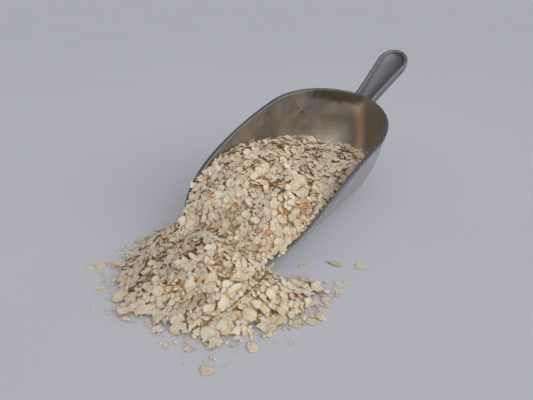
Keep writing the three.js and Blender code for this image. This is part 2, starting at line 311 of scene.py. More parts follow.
def handle_points():
    edge, wall = HANDLE["edge_round"], HANDLE["wall"]
    corner = rounded_corner(edge, QUARTER)
    around = np.linspace(0, math.pi / 2, AROUND_STEPS + 1)[1:]
    hollow_depth = HANDLE["depth"] - HANDLE["floor"] - edge
    soft = HANDLE["hollow_roundness"]
    rows = [handle_row(wall, edge, angle, hollow_depth, HOLLOW_INTO_WALL, soft) for angle in around[::-1]]
    rows += [handle_row(wall - inset, drop, 0, 0, HOLLOW_INTO_WALL) for inset, drop in corner]
    rows += [handle_row(inset, drop, 0, 0, 0) for inset, drop in reversed(corner)]
    rows += [handle_row(0, edge, angle, HANDLE["depth"] - edge, 0) for angle in around]
    half_grid = np.stack(rows, 1)
    mirrored = half_grid[::-1] * np.array([-1, 1, 1])
    return np.concatenate([half_grid, mirrored])


handle_grid = handle_points()
print("the handle's grid is", handle_grid.shape[:2])

# %% [markdown]
# A grid becomes a closed mesh by joining its neighbours and merging the points that meet at the keel
# and at the poles.

# %% From a grid to a closed mesh
SAME_POINT = 0.01 * MM
NO_LENGTH = 0.001 * MM


def mesh_of_grid(name, grid, closed):
    """A mesh over a grid of points, with the points that meet merged and its faces outwards."""
    rows, columns = grid.shape[:2]
    faces = []
    for i in range(rows if closed else rows - 1):
        for j in range(columns - 1):
            a, b = i * columns + j, (i + 1) % rows * columns + j
            faces.append((a, b, b + 1, a + 1))
    mesh = bpy.data.meshes.new(name)
    mesh.from_pydata(to_frame(grid.reshape(-1, 3)).tolist(), [], faces)
    bm = bmesh.new()
    bm.from_mesh(mesh)
    bmesh.ops.remove_doubles(bm, verts=bm.verts, dist=SAME_POINT)
    bmesh.ops.dissolve_degenerate(bm, edges=bm.edges, dist=NO_LENGTH)
    bmesh.ops.recalc_face_normals(bm, faces=bm.faces)
    bm.to_mesh(mesh)
    bm.free()
    return mesh


def new_object(name, mesh):
    made = bpy.data.objects.new(name, mesh)
    bpy.context.scene.collection.objects.link(made)
    return made


def open_edges(mesh):
    bm = bmesh.new()
    bm.from_mesh(mesh)
    count = sum(1 for edge in bm.edges if len(edge.link_faces) != 2)
    bm.free()
    return count


scoop = new_object("cast_scoop", mesh_of_grid("cast_scoop", lay_down(bowl_grid), closed=False))
handle = new_object("handle", mesh_of_grid("handle", lay_down(handle_grid), closed=True))
print("open edges:", open_edges(scoop.data), "in the bowl,", open_edges(handle.data), "in the handle")

# %% [markdown]
# Bowl and handle are joined by a boolean, as they are one casting. A boolean is a modifier, so the
# helper applies it at once, and the piece becomes a plain mesh.

# %% One casting
def as_plain_mesh(made):
    """The object's modifiers are applied: its mesh becomes what they give."""
    evaluated = made.evaluated_get(bpy.context.evaluated_depsgraph_get())
    result = bpy.data.meshes.new_from_object(evaluated)
    made.modifiers.clear()
    made.data = result
    return made


def join_solids(made, other, operation="UNION"):
    cut = made.modifiers.new(operation.title(), "BOOLEAN")
    cut.object = other
    cut.operation = operation
    cut.solver = "MANIFOLD"
    as_plain_mesh(made)
    bpy.data.objects.remove(other)
    return made


join_solids(scoop, handle)
print("the casting has", len(scoop.data.polygons), "faces and", open_edges(scoop.data), "open edges")

# %% [markdown]
# ## The cast metal
# Cast aluminium is dull and a little mottled, because it keeps the grain of the sand mould. The rim is
# dark and speckled, and painted lighter on the right near the lip: a painted reflection of the bright
# floor. Inside, the bowl is warm with tarnish; under the rim at the back lies a dark patch of painted
# shade with drip-like edges, and an upright band beside it is a painted reflection. Image textures
# would give this, but six numbers on each vertex are enough: how near it is to the rim, how much of the
# painted floor reflection it has, whether it lies inside the bowl or on the handle, and how much of the
# painted shade and of the painted reflection band it has. They come from the shape's own formulas.

# %% Marks on the casting for its finish
OFF_SKIN = 0.3
ON_SKIN = 1.02
EDGE_REACH = {"inside": 1.2, "outside": 2.4}
# The rim is painted lighter on the right near the lip: a painted reflection of the bright floor.
FLOOR_REFLECTION_ON_RIM = {"from": 25, "to": 95}
# A dark patch of painted shade under the back rim, with drip-like edges.
SHADE_UNDER_RIM = {"x": -14, "under_rim": 2, "half_length": 17, "half_height": 7, "fades_by": 1.6}
# An upright band of painted reflection on the back wall.
REFLECTION_BAND = {"x": 7, "z": 39, "lean": 0.53, "half_width": 5.5, "under_rim": 5, "fades_by": 1.3}


def smooth_step(value, start, end):
    """0 up to the start, 1 from the end on, and a soft climb between them."""
    t = np.clip((value - start) / (end - start), 0, 1)
    return t * t * (3 - 2 * t)


def write_mark(mesh, name, values):
    mark = mesh.attributes.new(name, "FLOAT", "POINT")
    mark.data.foreach_set("value", np.ascontiguousarray(values, np.float32))


def vertices_of(mesh):
    """The mesh's points in millimetres from the lip."""
    flat = np.empty(len(mesh.vertices) * 3, np.float32)
    mesh.vertices.foreach_get("co", flat)
    return (flat.reshape(-1, 3).astype(float) - np.array(LIP)) / MM


def mark_casting(mesh):
    x, y, z = level(vertices_of(mesh)).T
    on_inner_skin = fullness_in_bowl(x, y, z, BOWL["wall"] - OFF_SKIN) < ON_SKIN
    on_bowl = fullness_in_bowl(x, y, z, -OFF_SKIN) < 1
    at_back = on_bowl & (y > BACK_START)
    under_rim = rim_at(np.clip(y, 0, BOWL["length"])) - z
    reach = np.where(on_inner_skin, EDGE_REACH["inside"], EDGE_REACH["outside"])
    # A dark patch of painted shade under the back rim.
    shade_x = (x - SHADE_UNDER_RIM["x"]) / SHADE_UNDER_RIM["half_length"]
    shade_z = (under_rim - SHADE_UNDER_RIM["under_rim"]) / SHADE_UNDER_RIM["half_height"]
    shade_under_rim = SHADE_UNDER_RIM["fades_by"] - np.hypot(shade_x, shade_z)
    # An upright band of painted reflection on the back wall.
    from_reflection_band = np.abs(x - REFLECTION_BAND["x"] + REFLECTION_BAND["lean"] * (z - REFLECTION_BAND["z"])) / REFLECTION_BAND["half_width"]
    reflection_band = REFLECTION_BAND["fades_by"] - from_reflection_band
    in_reflection_band = at_back & (under_rim > REFLECTION_BAND["under_rim"])
    marks = {
        "edge": np.where(on_bowl, np.clip(1 - under_rim / reach, 0, 1), 0),
        # painted reflection of the floor: the rim is painted lighter on the right near the lip
        "floor_reflection": np.where(x > 0, 1 - smooth_step(y, FLOOR_REFLECTION_ON_RIM["from"], FLOOR_REFLECTION_ON_RIM["to"]), 0),
        "inside": on_bowl & on_inner_skin,
        "on_handle": ~on_bowl,
        # painted shade under the back rim
        "shade_under_rim": np.where(at_back, np.clip(shade_under_rim, 0, 1), 0),
        # painted reflection band on the back wall
        "reflection_band": np.where(in_reflection_band, np.clip(reflection_band, 0, 1), 0),
    }
    for name, values in marks.items():
        write_mark(mesh, name, values)


mark_casting(scoop.data)
scoop.data.shade_smooth()
scoop.data.set_sharp_from_angle(angle=math.radians(50))
print("marks:", [a.name for a in scoop.data.attributes if a.domain == "POINT" and not a.is_internal])

# %% [markdown]
# A material is a small network of nodes. These helpers add a node and feed its sockets, so that each
# recipe below reads as a list of what feeds what.

# %% Helpers for materials
def new_material(name):
    material = bpy.data.materials.new(name)
    material.use_nodes = True
    tree = material.node_tree
    return material, tree, tree.nodes["Principled BSDF"]


def feed(tree, socket, value):
    """Gives a socket a number, a colour or another node's output."""
    if isinstance(value, bpy.types.NodeSocket):
        tree.links.new(value, socket)
    else:
        socket.default_value = value


def add_node(tree, kind, inputs=None, **settings):
    """A node with its settings, and with inputs given by the name or the number of the socket."""
    node = tree.nodes.new(kind)
    for name, value in settings.items():
        setattr(node, name, value)
    for name, value in (inputs or {}).items():
        feed(tree, node.inputs[name], value)
    return node


def noise(tree, scale, detail=2, stretch=(1, 1, 1), roughness=0.5):
    """Noise over Object coordinates: scale is in patches a metre, stretch squeezes an axis."""
    place = add_node(tree, "ShaderNodeTexCoord").outputs["Object"]
    place = add_node(tree, "ShaderNodeMapping", {"Vector": place, "Scale": stretch}).outputs["Vector"]
    inputs = {"Vector": place, "Scale": scale, "Detail": detail, "Roughness": roughness}
    return add_node(tree, "ShaderNodeTexNoise", inputs).outputs["Fac"]


def attribute(tree, name):
    return add_node(tree, "ShaderNodeAttribute", attribute_name=name).outputs["Fac"]


def spread(tree, value, low, high, to_low=0, to_high=1):
    """A value between low and high, spread evenly from to_low to to_high."""
    inputs = {"Value": value, "From Min": low, "From Max": high, "To Min": to_low, "To Max": to_high}
    return add_node(tree, "ShaderNodeMapRange", inputs).outputs["Result"]


def blend(tree, factor, first, second):
    """The first colour where the factor is 0, the second where it is 1."""
    return add_node(tree, "ShaderNodeMix", {0: factor, 6: first, 7: second}, data_type="RGBA").outputs[2]


def calculate(tree, operation, first, second):
    return add_node(tree, "ShaderNodeMath", {0: first, 1: second}, operation=operation).outputs[0]


def colour(red, green, blue):
    return (red, green, blue, 1)


print("helpers ready")

# %% [markdown]
# The recipe for the metal starts with a grey that is mottled at the size of a fingertip, darker on the
# handle, and has tarnish in clouds inside the bowl, with a painted shade under the back rim and a band
# of painted reflection. Two small casting pits lie under the rim on the left of the back wall.

# %% Colours of the metal, its tarnish, its painted shade and reflection, and its pits
BLACK = colour(0, 0, 0)
METAL = {
    "outside": (colour(0.49, 0.49, 0.51), colour(0.60, 0.60, 0.62)),
    "handle": (colour(0.21, 0.215, 0.23), colour(0.30, 0.305, 0.32)),
    "rim": (colour(0.12, 0.12, 0.13), colour(0.30, 0.30, 0.31)),
    "tarnish": (colour(0.43, 0.41, 0.38), colour(0.60, 0.51, 0.42)),
    # painted reflection band
    "reflection_band": colour(0.90, 0.74, 0.58),
    # painted shade under the back rim
    "shade_under_rim": colour(0.12, 0.10, 0.07),
    "sparkle": colour(0.55, 0.55, 0.57),
    "pit": colour(0.17, 0.13, 0.09),
}
PITS = ((-32.3, 133.4, 54.8), (-31.4, 138.3, 50.6))
PIT_FADES = (0.1, 1.9)


def tarnish_and_painted_light(tree, mottle):
    """The colour inside the bowl: clouds of tarnish, the painted reflection band, and the painted shade under
    the rim with its drip-like edges.
    """
    warm = blend(tree, spread(tree, noise(tree, 28, 3), 0.42, 0.6), *METAL["tarnish"])
    warm = blend(tree, spread(tree, mottle, 0.3, 0.7), blend(tree, 0.84, BLACK, warm), warm)
    # The upright band is a painted reflection.
    warm = blend(tree, attribute(tree, "reflection_band"), warm, METAL["reflection_band"])
    # The painted shade gets ragged, drip-like edges from a stretched noise.
    shade_edges = calculate(tree, "MULTIPLY", noise(tree, 170, 3, stretch=(1, 1, 0.35)), 0.9)
    shaded = calculate(tree, "ADD", attribute(tree, "shade_under_rim"), shade_edges)
    return blend(tree, spread(tree, shaded, 0.75, 1.3, 0, 0.88), warm, METAL["shade_under_rim"])


def pit_marks(tree):
    """1 in the middle of each small casting pit, 0 two millimetres away from it."""
    place = add_node(tree, "ShaderNodeTexCoord").outputs["Object"]
    near = 1.0
    for pit in PITS:
        inputs = {0: place, 1: tuple(to_frame(pit))}
        away = add_node(tree, "ShaderNodeVectorMath", inputs, operation="DISTANCE").outputs["Value"]
        near = calculate(tree, "MULTIPLY", near, spread(tree, away, PIT_FADES[0] * MM, PIT_FADES[1] * MM))
    return calculate(tree, "SUBTRACT", 1, near)


print("the metal has", len(METAL), "colours and", len(PITS), "pits")

# %% [markdown]
# Over that lie the dark rim and the specks of the sand's grain, which are faint inside the bowl and
# sparkle on the rim. The roughness varies with the mottling, and the grain is also a fine bump.

# %% The cast aluminium finish
def rim_and_specks(tree, base, grain, inside):
    edge = attribute(tree, "edge")
    # On the right near the lip the rim is painted lighter, a painted reflection of the floor.
    rim = blend(tree, attribute(tree, "floor_reflection"), *METAL["rim"])
    base = blend(tree, spread(tree, edge, 0.2, 0.85, 0, 0.9), base, rim)
    softened = calculate(tree, "MULTIPLY", inside, 0.6)
    between_specks = calculate(tree, "MAXIMUM", spread(tree, grain, 0.35, 0.65), softened)
    base = blend(tree, between_specks, blend(tree, 0.72, BLACK, base), base)
    sparkle = calculate(tree, "MULTIPLY", edge, spread(tree, grain, 0.63, 0.70))
    return blend(tree, sparkle, base, METAL["sparkle"])


def cast_aluminium():
    material, tree, shader = new_material("cast_aluminium")
    inside, on_handle = attribute(tree, "inside"), attribute(tree, "on_handle")
    mottle, grain = noise(tree, 90, 4), noise(tree, 900, 3, roughness=0.6)
    outside_grey = blend(tree, mottle, *METAL["outside"])
    handle_grey = blend(tree, mottle, *METAL["handle"])
    base = blend(tree, inside, blend(tree, on_handle, outside_grey, handle_grey), tarnish_and_painted_light(tree, mottle))
    base = rim_and_specks(tree, base, grain, inside)
    base = blend(tree, pit_marks(tree), base, METAL["pit"])
    tree.links.new(base, shader.inputs["Base Color"])
    rough = spread(tree, mottle, 0.3, 0.7, 0.46, 0.60)
    rough = calculate(tree, "ADD", rough, calculate(tree, "MULTIPLY", on_handle, 0.1))
    tree.links.new(rough, shader.inputs["Roughness"])
    shader.inputs["Metallic"].default_value = 1
    sand = add_node(tree, "ShaderNodeBump", {"Height": grain, "Strength": 0.35, "Distance": 0.0004})
    tree.links.new(sand.outputs["Normal"], shader.inputs["Normal"])
    return material


def finish_piece(piece, material, slot, *nodes):
    """The piece gets its material, rides on the one body and stands for the CAD nodes named."""
    piece.data.materials.clear()
    piece.data.materials.append(material)
    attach(piece, "root")
    if nodes:
        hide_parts(*nodes)


finish_piece(scoop, cast_aluminium(), "cast_aluminium", "scoop")
print("the scoop is finished")

# %% [markdown]
# ## How high the flakes lie
# Flakes fill the scoop to a level that falls towards the back and then over the lip, and lie before
# it in a low heap. Both are drawn as heights over the plan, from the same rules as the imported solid.
# Where two heights meet they are blended over a few millimetres, because loose food has no creases.

# %% Level of the contents, in the scoop's own axes
CONTENTS = {
    "over_rim": 4, "plateau": 37, "back_level": 18.3, "back_at": 161, "back_slope": 0.42,
    "crown_mouth": 4.5, "crown_back": 1, "turn_from": 70, "turn_to": 110, "blend": 8,
}
LEVEL_TRIES = 12


def blended_min(first, second, width):
    near = np.maximum(width - np.abs(first - second), 0) / width
    return np.minimum(first, second) - near ** 2 * width / 4


def contents_in_scoop(x, y):
    c = CONTENTS
    front = blended_min(rim_at(np.clip(y, 0, BOWL["length"])) + c["over_rim"], c["plateau"], c["blend"])
    back = c["back_level"] + c["back_slope"] * (c["back_at"] - y)
    turned = smooth_step(y, c["turn_from"], c["turn_to"])
    crown = c["crown_mouth"] + (c["crown_back"] - c["crown_mouth"]) * turned
    across = x / half_width_at(np.clip(y, 0, BACK_START))
    return blended_min(front, back, c["blend"]) + turned * math.tan(ROLL) * x - crown * across ** 2


def contents_level(x, y):
    """The same level over a point of the table: the scoop is rolled, so the height is found by trying."""
    z = np.full(np.shape(x), float(CONTENTS["plateau"]))
    for _ in range(LEVEL_TRIES):
        flat = level(np.stack([x, y, z], -1))
        flat[..., 2] = contents_in_scoop(flat[..., 0], y)
        z = lay_down(flat)[..., 2]
    return z


level_in_middle = contents_level(np.array(0.0), np.array(80.0))
print("level over the middle of the scoop:", float(level_in_middle.round(1)), "mm")

# %% [markdown]
# The heap before the lip is three cones run into one. Each has a peak, and its foot reaches a
# different distance in each of eight directions. The toe thins out a little more than a cone's does.

# %% Level of the heap on the table
HEAPS = (
    {"x": 2, "y": -12, "peak": 22, "reach": (51, 39, 45, 55, 56, 52, 42, 46)},
    {"x": -33, "y": 5, "peak": 16.5, "reach": (26, 26, 26, 24, 23, 25, 26, 26)},
    {"x": 42, "y": 4, "peak": 3.2, "reach": (17, 24, 15, 13, 12, 14, 13, 14)},
)
HEAP_BLEND = 6
HEAP_TOE = 1.1


def cone_level(heap, x, y):
    reach = np.array(heap["reach"], float)
    turn = np.arctan2(y - heap["y"], x - heap["x"]) / (2 * math.pi) % 1 * len(reach)
    before = np.floor(turn).astype(int) % len(reach)
    part = smooth_step(turn - np.floor(turn), 0, 1)
    here = reach[before] * (1 - part) + reach[(before + 1) % len(reach)] * part
    near = 1 - np.hypot(x - heap["x"], y - heap["y"]) / here
    return heap["peak"] * np.sign(near) * np.abs(near) ** HEAP_TOE


def heap_level(x, y):
    height = cone_level(HEAPS[0], x, y)
    for heap in HEAPS[1:]:
        height = -blended_min(-height, -cone_level(heap, x, y), HEAP_BLEND)
    return height


print("the heap's highest point:", float(heap_level(np.array(2.0), np.array(-12.0)).round(1)), "mm")

# %% [markdown]
# ## Maps of the table and of the hollow
# To lay flakes down one by one, something has to know how high the last ones reach. A map with a
# height in every half millimetre does that, and is far quicker than a physics simulation. Two maps are
# needed, because the rolled scoop leans over the heap on its right: one of the table and what lies on
# it, and one of the hollow, seen from above, with the rim and the heap around it.

# %% Two height maps
CELL = 0.5
MAP_LOW, MAP_HIGH = (-72, -76), (78, 176)
ABOVE_ALL = 120.0
NO_METAL = -1.0
CLEAR = 0.25
map_x, map_y = np.meshgrid(
    np.arange(MAP_LOW[0], MAP_HIGH[0], CELL) + CELL / 2,
    np.arange(MAP_LOW[1], MAP_HIGH[1], CELL) + CELL / 2, indexing="ij",
)


def side_of_wall(points):
    """For points on the table's axes: are they in the hollow, outside the bowl, and below the rim?"""
    x, y, z = np.moveaxis(level(points), -1, 0)
    hollow = fullness_in_bowl(x, y, z, BOWL["wall"] + CLEAR) < 1
    outside = fullness_in_bowl(x, y, z, -CLEAR) > 1
    below_rim = (z < rim_at(np.clip(y, 0, BOWL["length"])) + CLEAR) & (y > -CLEAR)
    return hollow, outside, below_rim


def seen_from_above(mesh):
    """The height of the casting over each point of the map, or below the table where there is none."""
    bm = bmesh.new()
    bm.from_mesh(mesh)
    tree = BVHTree.FromBMesh(bm)
    bm.free()
    top = np.full(map_x.shape, NO_METAL)
    starts = to_frame(np.stack([map_x, map_y, np.full(map_x.shape, ABOVE_ALL)], -1))
    down = Vector((0, 0, -1))
    behind_lip = (map_y > -2) & (np.abs(map_x) < BOWL["width"])
    for i, j in zip(*np.nonzero(behind_lip)):
        hit = tree.ray_cast(Vector(starts[i, j]), down)[0]
        if hit:
            top[i, j] = hit.z / MM
    return top


metal_top = seen_from_above(scoop.data)
print("the casting covers", round((metal_top > 0).sum() * CELL ** 2 / 100), "square cm of the map")

# %% [markdown]
# The real surface isn't as even as the rules say: flakes slide and leave lumps and hollows a finger
# wide. A sum of a few soft waves in random directions gives that unevenness. Two more such sums tip
# the flakes of each small patch the same way, because flakes slide in sheets.

# %% Lumps, and patches that lean
CHANCE = np.random.default_rng(7)
WAVES = 26
LUMPS = {"length": (11, 34), "height": 0.7, "fade_in": (1, 7)}
LEAN = {"length": (7, 22), "slope": 0.3}


def uneven(x, y, lengths):
    """A rolling surface of random waves that rises and falls by about 1."""
    total = np.zeros_like(x)
    for _ in range(WAVES):
        turn, start = CHANCE.uniform(0, 2 * math.pi, 2)
        length = CHANCE.uniform(*lengths)
        total += np.sin((x * math.cos(turn) + y * math.sin(turn)) * 2 * math.pi / length + start) * length
    return total / total.std()


lumps = uneven(map_x, map_y, LUMPS["length"]) * LUMPS["height"]
lean = np.stack([uneven(map_x, map_y, LEAN["length"]) * LEAN["slope"] for _ in range(2)], -1)
print("the lumps rise to", lumps.max().round(1), "mm")

# %% [markdown]
# The flakes settle a little lower along the wall, and most of all on the right near the lip, but not
# where they spill over the lip's left end. There is one deep hollow where they bend over the lip, and
# hardly any lie beside the heap under the right wall. The levels that the piling aims at follow.

# %% The levels to pile up to
SINK_AT_WALL = {"depth": 1.1, "from": 0.72, "from_lip": 16, "fade": 8}
SINK_AT_LIP = {"depth": 0.8, "reach": 34}
HOLLOW = {"x": 10, "y": 0, "reach": 4.5, "depth": 5.5}
BARE = {"x": 29, "y": 18, "reach": 9, "depth": 5}


def soft_pit(place):
    """How much lower the surface lies round a place."""
    away = (map_x - place["x"]) ** 2 + (map_y - place["y"]) ** 2
    return place["depth"] * np.exp(-away / place["reach"] ** 2)


contents_map = contents_level(map_x, map_y) - soft_pit(HOLLOW)
heap_map = heap_level(map_x, map_y) - soft_pit(BARE) - soft_pit(HOLLOW)
flat_x, flat_y, flat_z = np.moveaxis(level(np.stack([map_x, map_y, contents_map], -1)), -1, 0)
height_of_wall = np.minimum(flat_z, rim_at(np.clip(flat_y, 0, BOWL["length"])))
over_scoop = (map_y > 0) & (fullness_in_bowl(flat_x, flat_y, height_of_wall, BOWL["wall"] / 2) < 1)
to_wall = fullness_in_bowl(flat_x, flat_y, flat_z, BOWL["wall"]) ** (1 / BOWL["section_power"])
lip_end = SINK_AT_WALL["from_lip"]
spilled = smooth_step(-map_y, -lip_end, SINK_AT_WALL["fade"] - lip_end) * (map_x < 0)
at_wall = np.where(over_scoop, smooth_step(to_wall, SINK_AT_WALL["from"], 1) * (1 - spilled), 0)
right_of_lip = (1 - smooth_step(map_y, 0, SINK_AT_LIP["reach"])) * (map_x > 0)
sink = SINK_AT_WALL["depth"] + SINK_AT_LIP["depth"] * right_of_lip
inside_target = np.where(over_scoop, -blended_min(-contents_map, -heap_map, HEAP_BLEND), heap_map)
inside_target += smooth_step(inside_target, *LUMPS["fade_in"]) * lumps * (1 - at_wall) - sink * at_wall
outside_target = heap_map + smooth_step(heap_map, *LUMPS["fade_in"]) * lumps
print("aiming at", inside_target[over_scoop].min().round(1), "to", inside_target.max().round(1), "mm")

# %% [markdown]
# ## Piling flakes
# A whole flake is a disc of about six millimetres and a quarter of a millimetre thick. Many have broken
# into scraps and slivers. Those come mostly in the second half of the piling, into the gaps that whole
# flakes leave.

# %% Sizes of the flakes
FLAKE = {
    "smallest": 0.8, "usual": 3.0, "largest": 4.3, "spread": 0.6, "width": (0.75, 1),
    "thickness": 0.26, "thinner_to_thicker": (0.7, 1.3), "kinds": 24,
}
SCRAP = {"radius": (0.33, 0.8), "width": (0.35, 0.8)}
SCRAP_SHARE = {"first_half": 0.25, "second_half": 0.7, "strays": 0.3}


def flake_size(scrap_share):
    """Two radii and a thickness."""
    radius = FLAKE["usual"] + CHANCE.normal(0, FLAKE["spread"])
    width = CHANCE.uniform(*FLAKE["width"])
    if CHANCE.random() < scrap_share:
        radius *= CHANCE.uniform(*SCRAP["radius"])
        width = CHANCE.uniform(*SCRAP["width"])
    radius = float(np.clip(radius, FLAKE["smallest"], FLAKE["largest"]))
    thickness = FLAKE["thickness"] * CHANCE.uniform(*FLAKE["thinner_to_thicker"])
    return np.array([radius, radius * width, thickness])


print("a whole flake is about", 2 * FLAKE["usual"], "mm wide")

# %% [markdown]
# Each flake is dropped at a place where the pile is still below its level, in a few tilts, and the
# tilt that lets it lie lowest is kept, as a real flake slips until it lies firmly. It stops at its
# first touch, and the map is raised where it lies. A flake that would cut the metal or reach through
# the wall isn't laid, nor one that would hang over the rim, but for those that run off the lip.

# %% Laying one flake
LIE = {
    "sink": 0.25, "tries": 4, "tilt": 0.3, "steep_tilt": 0.8, "steep_share": 0.24, "stray_tilt": 0.05,
    "proud": 1.4, "free_from": 8, "least_free": 0.2,
}
OVER_RIM = {"most": -0.6, "spill_ends": 34, "lip_ends": 3, "lip_x": 20}
NOTHING = -99
REACH_CELLS = int(FLAKE["largest"] / CELL) + 1
window_x, window_y = np.meshgrid(*[np.arange(-REACH_CELLS, REACH_CELLS + 1) * CELL] * 2, indexing="ij")
RING = np.linspace(0, 2 * math.pi, 9)[:-1]
TEST_POINTS = np.array([(0, 0)] + [(math.cos(a), math.sin(a)) for a in RING])


def level_axes(slopes, spins):
    """Two axes in the plane of each disc, and its normal, from the slopes of the disc and its spin."""
    normal = np.stack([-slopes[:, 0], -slopes[:, 1], np.ones(len(slopes))], -1)
    normal /= np.linalg.norm(normal, axis=1)[:, None]
    flat = np.stack([np.cos(spins), np.sin(spins), np.zeros(len(spins))], -1)
    first = flat - normal * (flat * normal).sum(1)[:, None]
    first /= np.linalg.norm(first, axis=1)[:, None]
    return first, np.cross(normal, first), normal


def fits_the_scoop(points):
    """Does a flake with these test points miss the metal, and stay on its own side of the wall?"""
    hollow, outside, below_rim = side_of_wall(points)
    if (below_rim & ~hollow & ~outside).any():
        return False
    if (below_rim & hollow).any() and (below_rim & outside).any():
        return False
    if outside.all() or not outside.any():
        return True
    x, y, z = np.moveaxis(level(points), -1, 0)
    spill = (x < 0) & (y < OVER_RIM["spill_ends"]) | (x < OVER_RIM["lip_x"]) & (y < OVER_RIM["lip_ends"])
    return not ((fullness_in_bowl(x, y, z, -OVER_RIM["most"]) > 1) & ~spill).any()


def lay_flake(heights, spot, slope, size, tilt, tries=LIE["tries"], highest=math.inf):
    """Finds where a disc of that size comes to rest on the map of heights, and raises the map there."""
    slopes = slope + CHANCE.normal(0, tilt, (tries, 2))
    first, second, normal = level_axes(slopes, CHANCE.uniform(0, 2 * math.pi, tries))
    i, j = ((np.array(spot) - MAP_LOW) / CELL).astype(int)
    rows = slice(i - REACH_CELLS, i + REACH_CELLS + 1)
    columns = slice(j - REACH_CELLS, j + REACH_CELLS + 1)
    below = heights[rows, columns]
    if below.shape != window_x.shape:
        return None
    first_x, first_y, first_z = first.T[..., None, None]
    second_x, second_y, second_z = second.T[..., None, None]
    up = normal[:, 2, None, None]
    along = (window_x * second_y - window_y * second_x) / up
    across = (window_y * first_x - window_x * first_y) / up
    covered = (along / size[0]) ** 2 + (across / size[1]) ** 2 <= 1
    rise = along * first_z + across * second_z
    touch = np.where(covered, below - rise, NOTHING).reshape(tries, -1).max(1)
    best = int(touch.argmin())
    if not NOTHING < touch[best] < highest:
        return None
    centre = np.array([spot[0], spot[1], touch[best] + size[2] / 2 - LIE["sink"]])
    axes = np.stack([first[best], second[best], normal[best]])
    if not fits_the_scoop(centre + (TEST_POINTS * size[:2]) @ axes[:2]):
        return None
    top = np.where(covered[best], rise[best] + centre[2] + size[2] / 2, NOTHING)
    heights[rows, columns] = np.maximum(below, top)
    return centre, axes


print("a flake is tried in", LIE["tries"], "tilts")

# %% [markdown]
# The pile grows until it is everywhere at its level. About one flake in four keeps a steep tilt, held
# by its neighbours. Near the heap's foot there is no room for that, so flakes lie flatter there.

# %% Piling until the level is reached
PILE_GAP = 0.3


def pile_up(heights, target, allowed, spots):
    """Lays flakes until the heights reach the target wherever that is allowed."""
    slopes = np.stack(np.gradient(target, CELL), -1)
    places = np.argwhere(allowed)
    laid = []
    for number, (i, j) in enumerate(places[CHANCE.integers(0, len(places), spots)]):
        if heights[i, j] > target[i, j] - PILE_GAP:
            continue
        freedom = float(np.clip(target[i, j] / LIE["free_from"], LIE["least_free"], 1))
        steep = CHANCE.random() < LIE["steep_share"] and freedom == 1
        tilt = LIE["steep_tilt"] if steep else LIE["tilt"] * freedom
        tries = 1 if steep else LIE["tries"]
        size = flake_size(SCRAP_SHARE["first_half" if number < spots / 2 else "second_half"])
        slope = np.clip(slopes[i, j], -1, 1) + lean[i, j] * freedom
        highest = target[i, j] + LIE["proud"]
        found = lay_flake(heights, (map_x[i, j], map_y[i, j]), slope, size, tilt, tries, highest)
        if found:
            laid.append((*found, size))
    return laid


print("piling stops", PILE_GAP, "mm below the level")

# %% [markdown]
# The heap on the table is laid first, with what lies under the right wall. Its foot is sparse: the
# lower the heap is at a place, the fewer of the cells there may take a flake. The scoop is filled
# after it, so that its flakes run over the rim and join the heap. Under both is a core that reaches to
# a few millimetres below the surface, because nobody sees the flakes deeper down.

# %% Piling the heap and the contents
FLAKE_DEPTH = 2.8
SPOTS = {"heap": 120000, "scoop": 240000}
THIN_OUT = {"share": 0.002, "between": (0.5, 4.5)}

table_heights = np.maximum(outside_target - FLAKE_DEPTH, 0)
core_on_table_heights = table_heights.copy()
sparse = CHANCE.random(map_x.shape) < THIN_OUT["share"] + smooth_step(outside_target, *THIN_OUT["between"])
on_heap = (outside_target > PILE_GAP) & sparse
heap_flakes = pile_up(table_heights, outside_target, on_heap, SPOTS["heap"])
core_heights = np.maximum(inside_target - FLAKE_DEPTH, 0)
scoop_heights = np.where(over_scoop, core_heights, table_heights)
buried_metal = over_scoop & (metal_top < inside_target)
scoop_heights = np.where(buried_metal, np.maximum(scoop_heights, metal_top), scoop_heights)
in_scoop = (inside_target > PILE_GAP) & (over_scoop | sparse)
scoop_flakes = pile_up(scoop_heights, inside_target, in_scoop, SPOTS["scoop"])
print(len(heap_flakes), "flakes in the heap and", len(scoop_flakes), "in the scoop")

# %% [markdown]
# ## The shapes of single flakes
# Pressed quinoa gives thin, roundish flakes, thicker in the middle, with a ragged and often torn edge,
# and slightly cupped or twisted from drying. Two dozen different ones are enough, because each is
# turned and sized at random. They have a few dozen faces only, as there are thousands of them. A mark
# runs from 0 in the middle to 1 at the edge, for the darker rim of the seed's coat.

# %% Two dozen flake shapes
EDGE_POINTS = 14
OUTLINE = {"radius": 1.02, "lobe": 0.06, "torn": 0.13, "bite": 0.55, "straight_break": (0.2, 0.7)}
BODY = {
    "flat_to": 0.74, "bend": (1.6, 1.8, 1.5), "shoulder": (0.2, 0.8), "edge": (-0.1, 0.2),
    "middle": (0.1, 0.6), "bottom": -0.4, "shoulder_mark": 0.2,
}


def ragged_outline(number):
    """Angles and radii round a flake: soft lobes, a torn edge, and on most a bite or a straight break."""
    around = (np.arange(EDGE_POINTS) + CHANCE.uniform(-0.25, 0.25, EDGE_POINTS)) / EDGE_POINTS * 2 * math.pi
    lobes = sum(
        CHANCE.normal(0, OUTLINE["lobe"]) * np.cos(n * around + CHANCE.uniform(0, 6)) for n in (2, 3, 4)
    )
    radii = OUTLINE["radius"] + lobes - np.abs(CHANCE.normal(0, OUTLINE["torn"], EDGE_POINTS))
    if number % 3 == 0:
        radii[CHANCE.integers(EDGE_POINTS)] *= OUTLINE["bite"]
    if number % 3 == 1:
        facing = np.cos(around - CHANCE.uniform(0, 2 * math.pi))
        radii = np.minimum(radii, CHANCE.uniform(*OUTLINE["straight_break"]) / np.maximum(facing, 0.01))
    return around, radii


